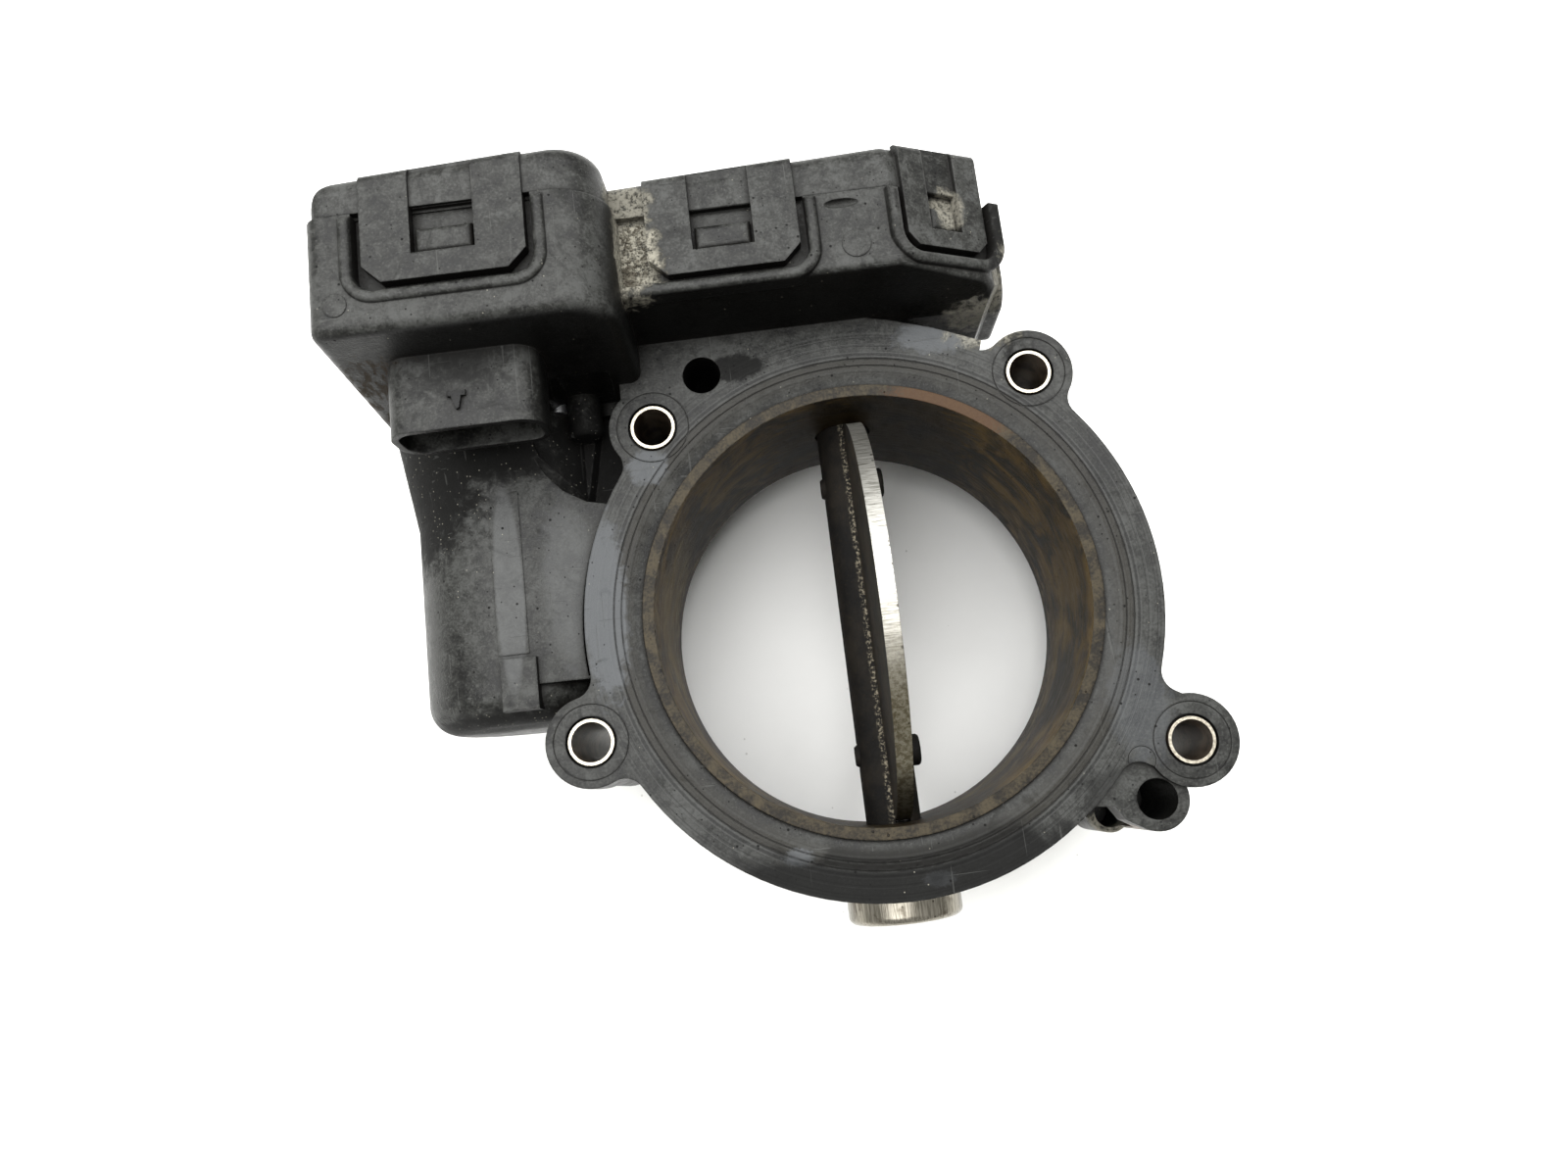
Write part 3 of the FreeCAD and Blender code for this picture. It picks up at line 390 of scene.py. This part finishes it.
    def sand(self, sand_noise):
        """Sand packed in the recesses. Returns where it lies."""
        mottle = self.mottle
        sandy = self.either(
            self.patch("idler_gear", (2, -0.7, 34), (6.5, 9.5, 6), mottle),
            self.times(self.patch("idler_gear", (2, 9.3, 34), (5.5, 5, 8), mottle), 0.5),
            self.times(self.patch("idler_gear", (57.5, 4.3, 29), (3.4, 4.6, 4), mottle), 0.55),
            self.times(self.patch("idler_gear", (62, -13.7, 16), (9, 6, 9), mottle), 0.6),
            self.times(self.patch("idler_gear", (67.5, -7.7, 16), (4, 11, 14), mottle), 0.5),
            self.times(self.patch("bore_liner", (37.4, -42.5, 2.3), (5, 3.5, 5), mottle), 0.8),
        )
        sandy = self.times(sandy, self.rise(sand_noise, 0.34, 0.50))
        self.paint(self.times(sandy, 0.95), SAND)
        return sandy

    def mud_and_rust(self, sand_noise):
        """Mud under the left box and rust beside the bracket hole. Returns the mud."""
        streaks = self.noise(1.6, detail=6, roughness=0.7, stretch=(1.6, 1, 0.5), turn=(0, 0.6, 0))
        mud = self.patch("idler_gear", (-42, -14.7, 24), (12, 6, 16), self.mottle)
        muddy = self.times(mud, self.rise(streaks, 0.44, 0.60))
        self.paint(self.times(muddy, 0.85), EARTH)
        rust = self.patch("bore_liner", (38.6, -43.0, 11.5), (3.0, 1.8, 7), self.mottle)
        self.paint(self.times(rust, self.rise(sand_noise, 0.42, 0.52), 0.9), RUST)
        return muddy

    def scratches(self):
        """Fine scratches in two directions, which are returned."""
        one_way = self.noise(1.0, detail=1, stretch=(0.05, 1.8, 1), turn=(0, 0, 0.5))
        other_way = self.noise(1.0, detail=1, stretch=(1.8, 0.05, 1), turn=(0, 0, 0.3))
        thin = self.either(self.rise(one_way, 0.715, 0.74), self.rise(other_way, 0.720, 0.745))
        self.paint(self.times(thin, self.faces_out, 0.35), PLASTIC_RUBBED_AND_HIGHLIGHT)
        return thin


def moulded_plastic(name, film):
    """The housing's or the cover's plastic, with a grey film of this strength."""
    g = Plastic(name)
    soft_normal = g.rounded(0.45)
    sand_noise = g.noise(0.7, detail=6, roughness=0.8)
    dirty = g.film(film)
    rings, smear_and_shade = g.flange()
    oil_and_shade_ends = g.bulge()
    oil_and_shade = g.boxes()
    grime_and_shade = g.corners(soft_normal)
    pits = g.specks_and_pits(oil_and_shade_ends)
    sandy = g.sand(sand_noise)
    muddy = g.mud_and_rust(sand_noise)
    thin = g.scratches()

    matt = g.either(dirty, smear_and_shade, sandy, muddy, oil_and_shade_ends, g.times(grime_and_shade, 0.6), pits, oil_and_shade)
    gloss = g.between(g.rise(g.film_noise, 0.36, 0.62), 0.30, 0.50)
    roughness = g.math("ADD", gloss, g.times(matt, 0.42))
    bump = g.bump(g.grain, 0.05, soft_normal)
    bump = g.bump(g.mottle, 0.09, bump)
    bump = g.bump(rings, 0.06, bump)
    bump = g.bump(thin, -0.03, bump)
    bump = g.bump(g.times(sandy, sand_noise), 0.5, bump)
    return g.finish(g.colour, roughness, None, bump)


# ------------------------------------------------------------------ metals that show

VARNISH = ((0.0085, 0.0056, 0.0022), (0.088, 0.054, 0.0140))
VARNISH_STREAK = (0.090, 0.062, 0.022)
VARNISH_AMBER = (0.105, 0.076, 0.030)
VARNISH_BURNT = (0.055, 0.026, 0.010)
# Near-black for sooty deposits and painted shade in the bore.
LINER_SOOT_AND_SHADE = (0.0022, 0.0018, 0.0012)
LINER_RIM = ((0.007, 0.0055, 0.0035), (0.040, 0.032, 0.019))
LINER_CRUST = (0.0015, 0.0012, 0.0010)
LINER_GLINT = (0.12, 0.11, 0.09)


def varnished_liner():
    """Metal bore lining under oil-stained brown varnish, black where sooty deposits have settled,
    and painted darker deeper in the bore as painted shade.
    """
    g = Graph("liner_varnish", Specular_IOR_Level=0.15)
    z = g.split(g.place)[2]
    up = g.split(g.facing)[2]
    cloud = g.noise(12, detail=6, roughness=0.62, stretch=(1, 1, 1.4), warp=0.9)
    streak = g.noise(3.5, detail=6, roughness=0.65, stretch=(1, 1, 3.5), warp=0.5)
    fine = g.noise(0.5, detail=4, roughness=0.7)
    colour = g.blend(g.rise(cloud, 0.38, 0.62), *VARNISH)
    colour = g.blend(g.times(g.rise(streak, 0.50, 0.68), 0.55), colour, VARNISH_STREAK)
    # Sooty deposits, and painted shade that grows deeper in the bore.
    soot_and_shade = g.either(
        g.patch("bore_liner", (8, 38, -0.7), (30, 15, 30), streak),
        g.patch("bore_liner", (33, -17, 1.3), (8, 11, 11), streak, 0.3),
        g.times(g.patch("bore_liner", (-37, 10, 10.3), (5, 22, 5), streak, 0.5), 0.4),
        g.times(g.patch("bore_liner", (37, 6, 8), (5, 22, 12), streak), 0.45),
        g.times(g.rise(z, -24 * MM, -36 * MM), g.rise(streak, 0.36, 0.56)),
        g.times(g.patch("bore_liner", (4, -38, 7), (32, 8, 20), streak), 0.95),
    )
    colour = g.blend(g.times(soot_and_shade, g.between(cloud, 0.6, 1.0)), colour, LINER_SOOT_AND_SHADE)
    amber = g.patch("bore_liner", (-36, 8, -2), (7, 24, 18), streak, 0.6)
    colour = g.blend(g.times(amber, 0.5), colour, VARNISH_AMBER)
    rim = g.rise(up, 0.5, 0.95)
    rim_stain = g.rise(g.mixed((streak, 0.6), (fine, 0.4)), 0.40, 0.62)
    colour = g.blend(rim, colour, g.blend(rim_stain, *LINER_RIM))
    burnt = g.times(rim, g.patch("bore_liner", (18, 33, FACE_Z), (14, 9, 4), fine))
    colour = g.blend(g.times(burnt, 0.7), colour, VARNISH_BURNT)
    crust = g.specks(1.2, 0.22, 0.12)
    colour = g.blend(g.times(crust, 0.8), colour, LINER_CRUST)
    glint = g.specks(1.7, 0.07, 0.10)
    colour = g.blend(g.times(glint, 0.8), colour, LINER_GLINT)
    roughness = g.between(streak, 0.35, 0.70)
    bump = g.bump(fine, 0.05, g.bump(streak, 0.10, g.rounded(0.3)))
    return g.finish(colour, roughness, None, g.bump(crust, 0.15, bump))


SLEEVE_WALL = ((0.032, 0.022, 0.015), (0.10, 0.076, 0.055))
SLEEVE_END = ((0.27, 0.245, 0.195), (0.50, 0.46, 0.38))


def sleeve_steel():
    """Steel sleeves: bright cut end, brown inside."""
    g = Graph("sleeve_steel", Anisotropic=0.3)
    up = g.split(g.facing)[2]
    fine = g.noise(0.5, detail=4)
    broad = g.noise(3, detail=4)
    end = g.rise(up, 0.4, 0.8)
    wall = g.blend(g.rise(broad, 0.38, 0.62), *SLEEVE_WALL)
    ring = g.blend(g.rise(fine, 0.35, 0.7), *SLEEVE_END)
    return g.finish(g.blend(end, wall, ring), g.between(fine, 0.25, 0.45),
                    g.between(end, 0.5, 0.9), g.bump(fine, 0.02))


PLATE_MACHINED = ((0.22, 0.215, 0.19), (0.52, 0.51, 0.475))
PLATE_DULL = ((0.085, 0.072, 0.045), (0.20, 0.185, 0.14))
PLATE_STAINED = ((0.0034, 0.0025, 0.0016), (0.017, 0.0128, 0.0068))
PLATE_SPOT = (0.018, 0.014, 0.010)


def plate_metal():
    """Throttle plate: machined bright rim, painted brighter towards the top as a painted highlight,
    faces stained brown by oil vapour.
    """
    g = Graph("plate_stained", Specular_IOR_Level=0.25)
    across = g.math("ABSOLUTE", g.split(g.facing)[0])
    y = g.split(g.place)[1]
    lines = g.noise(0.45, detail=4, stretch=(0.15, 2.2, 0.15))
    cloud = g.noise(6, detail=6, roughness=0.65, warp=0.7)
    fine = g.noise(0.9, detail=5, roughness=0.7)
    rim = g.rise(across, 0.75, 0.45)
    # Painted highlight: the rim is painted bright only towards the top.
    bright = g.times(g.rise(y, -20 * MM, 4 * MM), g.between(g.rise(y, 30 * MM, 16 * MM), 0.85, 1.0))
    machined = g.blend(g.rise(lines, 0.32, 0.66), *PLATE_MACHINED)
    dull = g.blend(g.rise(fine, 0.4, 0.62), *PLATE_DULL)
    machined = g.blend(bright, dull, machined)
    stained = g.blend(g.rise(cloud, 0.36, 0.62), *PLATE_STAINED)
    colour = g.blend(rim, stained, machined)
    spots = g.either(g.specks(1.4, 0.22, 0.2), g.times(g.rise(fine, 0.60, 0.68), 0.6))
    colour = g.blend(g.times(spots, 0.7), colour, PLATE_SPOT)
    return g.finish(colour, g.between(rim, 0.75, 0.38), g.between(rim, 0.0, 0.90),
                    g.bump(lines, 0.03, g.bump(cloud, 0.06, g.rounded(0.25))))


SHAFT_SOOT = ((0.0022, 0.0019, 0.0016), (0.0085, 0.0068, 0.0048))
# Light steel for the unblackened line, laid on as a painted highlight.
SHAFT_BARE_AND_HIGHLIGHT = (0.26, 0.23, 0.17)
SHAFT_CRUST = (0.030, 0.022, 0.013)


def sooty_steel(name):
    """Shaft and its screws: blackened steel with a speckled, unblackened line beside the plate,
    kept only along its top as a painted highlight.
    """
    g = Graph(name, Specular_IOR_Level=0.16)
    x = g.split(g.place)[0]
    up = g.split(g.facing)[2]
    fine = g.noise(0.6, detail=6, roughness=0.75)
    broad = g.noise(5, detail=5)
    colour = g.blend(g.rise(broad, 0.38, 0.66), *SHAFT_SOOT)
    beside_plate = g.times(g.rise(x, -1.3 * MM, -0.5 * MM), g.rise(x, 0.6 * MM, 0.1 * MM))
    # Unblackened steel with a painted highlight: the line is kept only where it faces up.
    line = g.times(beside_plate, g.rise(up, 0.3, 0.7))
    bare_and_highlit = g.times(line, g.rise(fine, 0.50, 0.60))
    colour = g.blend(bare_and_highlit, colour, SHAFT_BARE_AND_HIGHLIGHT)
    crust = g.rise(fine, 0.57, 0.68)
    colour = g.blend(g.times(crust, 0.35), colour, SHAFT_CRUST)
    return g.finish(colour, g.between(fine, 0.55, 0.90), g.between(bare_and_highlit, 0.0, 0.5),
                    g.bump(fine, 0.14, g.bump(broad, 0.06, g.rounded(0.25))))


CAP_NICKEL = ((0.13, 0.12, 0.095), (0.27, 0.25, 0.21))
CAP_STAIN = (0.050, 0.037, 0.024)
CAP_SPOT = (0.02, 0.016, 0.012)


def nickel_cap():
    """End cap of nickel-plated sheet, drawn along the shaft, with stains."""
    g = Graph("cap_nickel", Anisotropic=0.35)
    drawn = g.noise(0.5, detail=3, stretch=(2.2, 0.12, 2.2))
    stain = g.noise(4, detail=6, roughness=0.65, warp=0.6)
    colour = g.blend(g.rise(drawn, 0.35, 0.65), *CAP_NICKEL)
    colour = g.blend(g.times(g.rise(stain, 0.50, 0.66), 0.75), colour, CAP_STAIN)
    colour = g.blend(g.times(g.specks(1.1, 0.2, 0.15), 0.8), colour, CAP_SPOT)
    return g.finish(colour, g.between(stain, 0.20, 0.42), g.between(stain, 0.95, 0.80),
                    g.bump(drawn, 0.02, g.bump(stain, 0.04, g.rounded(0.3))))


# ------------------------------------------------------------------ inner pieces

EDGE_LIGHTEN_GAIN = 1.3     # how much lighter a metal's edges are painted
HOLLOW_SHADE = 0.4       # share of a moulding's colour that is left in its hollows, which are painted darker as shade


def turned_metal(name, colour, tarnish, roughness=0.32):
    """Machined or drawn metal with fine marks and a little tarnish."""
    g = Graph(name)
    marks = g.noise(0.4, detail=3, stretch=(1.5, 0.4, 1.5))
    cloud = g.noise(5, detail=5)
    mixed = g.blend(g.rise(cloud, 0.45, 0.75), colour, tarnish)
    soft_normal = g.rounded(0.2)
    bright = tuple(min(1.0, part * EDGE_LIGHTEN_GAIN) for part in colour)
    mixed = g.blend(g.times(g.edges(soft_normal), 0.5), mixed, bright)
    return g.finish(mixed, g.between(marks, roughness - 0.1, roughness + 0.15),
                    g.between(cloud, 0.98, 0.85), g.bump(marks, 0.02, soft_normal))


def plain_moulding(name, colour, shade, roughness=0.45):
    """Moulded, sintered or pressed stuff with a fine grain."""
    g = Graph(name)
    grain = g.noise(0.3, detail=3)
    cloud = g.noise(4, detail=5)
    mixed = g.blend(g.rise(cloud, 0.35, 0.7), colour, shade)
    dark = tuple(part * HOLLOW_SHADE for part in shade)
    # Painted shade: hollows are painted darker.
    mixed = g.blend(g.times(g.hollows(1.5), 0.6), mixed, dark)
    return g.finish(mixed, g.between(grain, roughness - 0.08, roughness + 0.14), None,
                    g.bump(grain, 0.03))


def dress(node, material):
    """Gives every material slot of a CAD node one material."""
    for slot in NODES[node].material_slots:
        slot.material = material


STEEL = ((0.56, 0.57, 0.58), (0.34, 0.33, 0.31))
TIN = ((0.66, 0.66, 0.64), (0.42, 0.41, 0.38))
COPPER = ((0.62, 0.28, 0.14), (0.34, 0.15, 0.08))
BRASS = ((0.70, 0.52, 0.22), (0.42, 0.30, 0.13))
BLACK = ((0.020, 0.020, 0.021), (0.035, 0.035, 0.036))
FERRITE = ((0.050, 0.050, 0.055), (0.085, 0.083, 0.085))
ACETAL = ((0.66, 0.63, 0.54), (0.52, 0.48, 0.38))
GREEN = ((0.012, 0.085, 0.035), (0.02, 0.14, 0.055))

dress("housing", moulded_plastic("housing_plastic", 0.75))
dress("gear_cover", moulded_plastic("cover_plastic", 0.95))
dress("bore_liner", varnished_liner())
dress("compression_sleeves", sleeve_steel())
dress("throttle_plate", plate_metal())
dress("throttle_shaft", sooty_steel("shaft_steel"))
dress("plate_screws", sooty_steel("screw_steel"))
dress("bearing_end_cap", nickel_cap())
for material, names in (
    (turned_metal("bearing_steel", *STEEL, roughness=0.22),
     ("upper_shaft_bearing", "lower_shaft_bearing")),
    (turned_metal("spring_steel", *STEEL), ("return_spring", "wave_spring")),
    (turned_metal("insert_steel", *STEEL),
     ("sector_insert", "idler_pin", "motor_shaft", "motor_screws")),
    (turned_metal("motor_steel", *TIN), ("motor_can", "motor_bracket")),
    (turned_metal("terminal_tin", *TIN, roughness=0.26), ("motor_terminals", "connector_pins")),
    (turned_metal("lamination", *STEEL, roughness=0.4), ("armature",)),
    (turned_metal("copper", *COPPER), ("armature_windings", "commutator")),
    (turned_metal("brass", *BRASS), ("motor_pinion", "motor_bushes")),
    (plain_moulding("seal_rubber", *BLACK, roughness=0.6),
     ("cover_seal", "upper_shaft_seal", "lower_shaft_seal")),
    (plain_moulding("carrier_plastic", *BLACK),
     ("spring_sleeve", "brush_holder", "terminal_carrier")),
    (plain_moulding("gear_plastic", *ACETAL, roughness=0.35), ("sector_gear", "idler_gear")),
    (plain_moulding("magnet_ferrite", *FERRITE), ("sensor_magnet", "motor_magnets")),
    (plain_moulding("carbon", *FERRITE, roughness=0.5), ("motor_brushes",)),
    (plain_moulding("board_green", *GREEN, roughness=0.35), ("sensor_board",)),
    (plain_moulding("chip_black", *BLACK, roughness=0.4), ("hall_sensor",)),
):
    for name in names:
        dress(name, material)


# ------------------------------------------------------------------ return spring


def twisting_spring():
    """The return spring, copied into an object of its own, with the CAD part hidden."""
    solid = NODES["return_spring"]
    made = bpy.data.objects.new("torsion_spring", solid.data.copy())
    bpy.context.collection.objects.link(made)
    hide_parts("return_spring")
    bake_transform(made)


twisting_spring()


# ------------------------------------------------------------------ loose grit

GRAIN_RADIUS_MM = (0.12, 0.34)
GRIT_COLOURS = ((0.045, 0.038, 0.026), (0.15, 0.14, 0.11))


def grit(name, places, count, seed):
    """Sand grains lying on flat places, each given by its x range, y range and height."""
    rng = random.Random(seed)
    build = bmesh.new()
    for _ in range(count):
        (x0, x1), (y0, y1), z = rng.choice(places)
        size = rng.uniform(*GRAIN_RADIUS_MM) * MM
        centre = Vector((rng.uniform(x0, x1), rng.uniform(y0, y1), z + size * 0.4))
        made = bmesh.ops.create_icosphere(build, subdivisions=1, radius=size)
        squash = Vector((rng.uniform(0.7, 1.2), rng.uniform(0.7, 1.2), rng.uniform(0.5, 0.8)))
        for vert in made["verts"]:
            rough = rng.uniform(0.8, 1.15)
            vert.co = centre + Vector([c * s * rough for c, s in zip(vert.co, squash)])
    mesh = bpy.data.meshes.new(name)
    build.to_mesh(mesh)
    build.free()
    g = Graph(name + "_sand", Specular_IOR_Level=0.3)
    tint = g.noise(0.9, detail=3)
    fine = g.noise(0.1, detail=2)
    colour = g.blend(g.rise(tint, 0.35, 0.65), *GRIT_COLOURS)
    mesh.materials.append(g.finish(colour, g.between(fine, 0.55, 0.85), None, g.bump(fine, 0.02)))
    made = bpy.data.objects.new(name, mesh)
    bpy.context.collection.objects.link(made)
    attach(made, "body")


def recess():
    """The narrow recess between the two boxes: its floor, and a denser strip at its corner."""
    x, y, z = near("idler_gear", 0.8, -5.9, 33.0)
    whole = (x, x + 4.0 * MM), (y, y + 12.0 * MM), z
    corner = (x - 0.2 * MM, x + 1.8 * MM), (y, y + 4.5 * MM), z
    return [whole, corner]


grit("recess_grit", recess(), 420, seed=7)


# ------------------------------------------------------------------ floor, light, camera

FLOOR_HALF_SIDE = 1.6
FLOOR_COLOURS = ((0.88, 0.88, 0.86), (0.93, 0.93, 0.91))
FLOOR_FLECK = (0.45, 0.44, 0.41)
WORLD_COLOUR = (1.0, 1.0, 0.965, 1.0)
WORLD_STRENGTH = 0.68
LENS_MM = 25.127
CAMERA_PLACE = mm(-13.145, -29.865, 185.057)
CAMERA_DEGREES = (10.417, 1.7217, -6.7167)
NEAREST_SEEN = 0.01


def floor():
    """Pale floor under the lowest point of the part."""
    low = CAD_BOX[0].z
    half = FLOOR_HALF_SIDE
    corners = [(-half, -half, low), (half, -half, low), (half, half, low), (-half, half, low)]
    mesh = bpy.data.meshes.new("floor")
    mesh.from_pydata(corners, [], [(0, 1, 2, 3)])
    made = bpy.data.objects.new("floor", mesh)
    bpy.context.collection.objects.link(made)
    g = Graph("floor_paper", Specular_IOR_Level=0.2)
    fleck = g.specks(3.4, 0.09, 0.22)
    cloud = g.noise(40, detail=4)
    colour = g.blend(g.rise(cloud, 0.3, 0.7), *FLOOR_COLOURS)
    colour = g.blend(g.times(fleck, 0.5), colour, FLOOR_FLECK)
    mesh.materials.append(g.finish(colour, g.between(cloud, 0.6, 0.8), None, g.bump(cloud, 0.1)))


def softbox(name, place, size, watts):
    """A square lamp aimed at the middle of the flange."""
    light = bpy.data.lights.new(name, "AREA")
    light.shape = "RECTANGLE"
    light.size = light.size_y = size
    light.energy = watts
    made = bpy.data.objects.new(name, light)
    made.location = place
    made.rotation_euler = (-Vector(place)).to_track_quat("-Z", "Y").to_euler()
    bpy.context.collection.objects.link(made)


def studio():
    world = bpy.data.worlds.new("studio")
    world.use_nodes = True
    sky = world.node_tree.nodes["Background"]
    sky.inputs["Color"].default_value = WORLD_COLOUR
    sky.inputs["Strength"].default_value = WORLD_STRENGTH
    bpy.context.scene.world = world
    softbox("window", (-0.28, 0.24, 0.94), size=1.2, watts=27.0)
    softbox("far_fill", (0.50, 0.50, 0.80), size=0.6, watts=7.0)
    bpy.context.scene.view_settings.view_transform = "Standard"


def camera():
    """Held low over the flange, tilted a little towards the gear housing."""
    data = bpy.data.cameras.new("camera")
    data.lens = LENS_MM
    data.clip_start = NEAREST_SEEN
    made = bpy.data.objects.new("camera", data)
    made.location = CAMERA_PLACE
    made.rotation_euler = [math.radians(angle) for angle in CAMERA_DEGREES]
    bpy.context.collection.objects.link(made)
    bpy.context.scene.camera = made


floor()
studio()
camera()
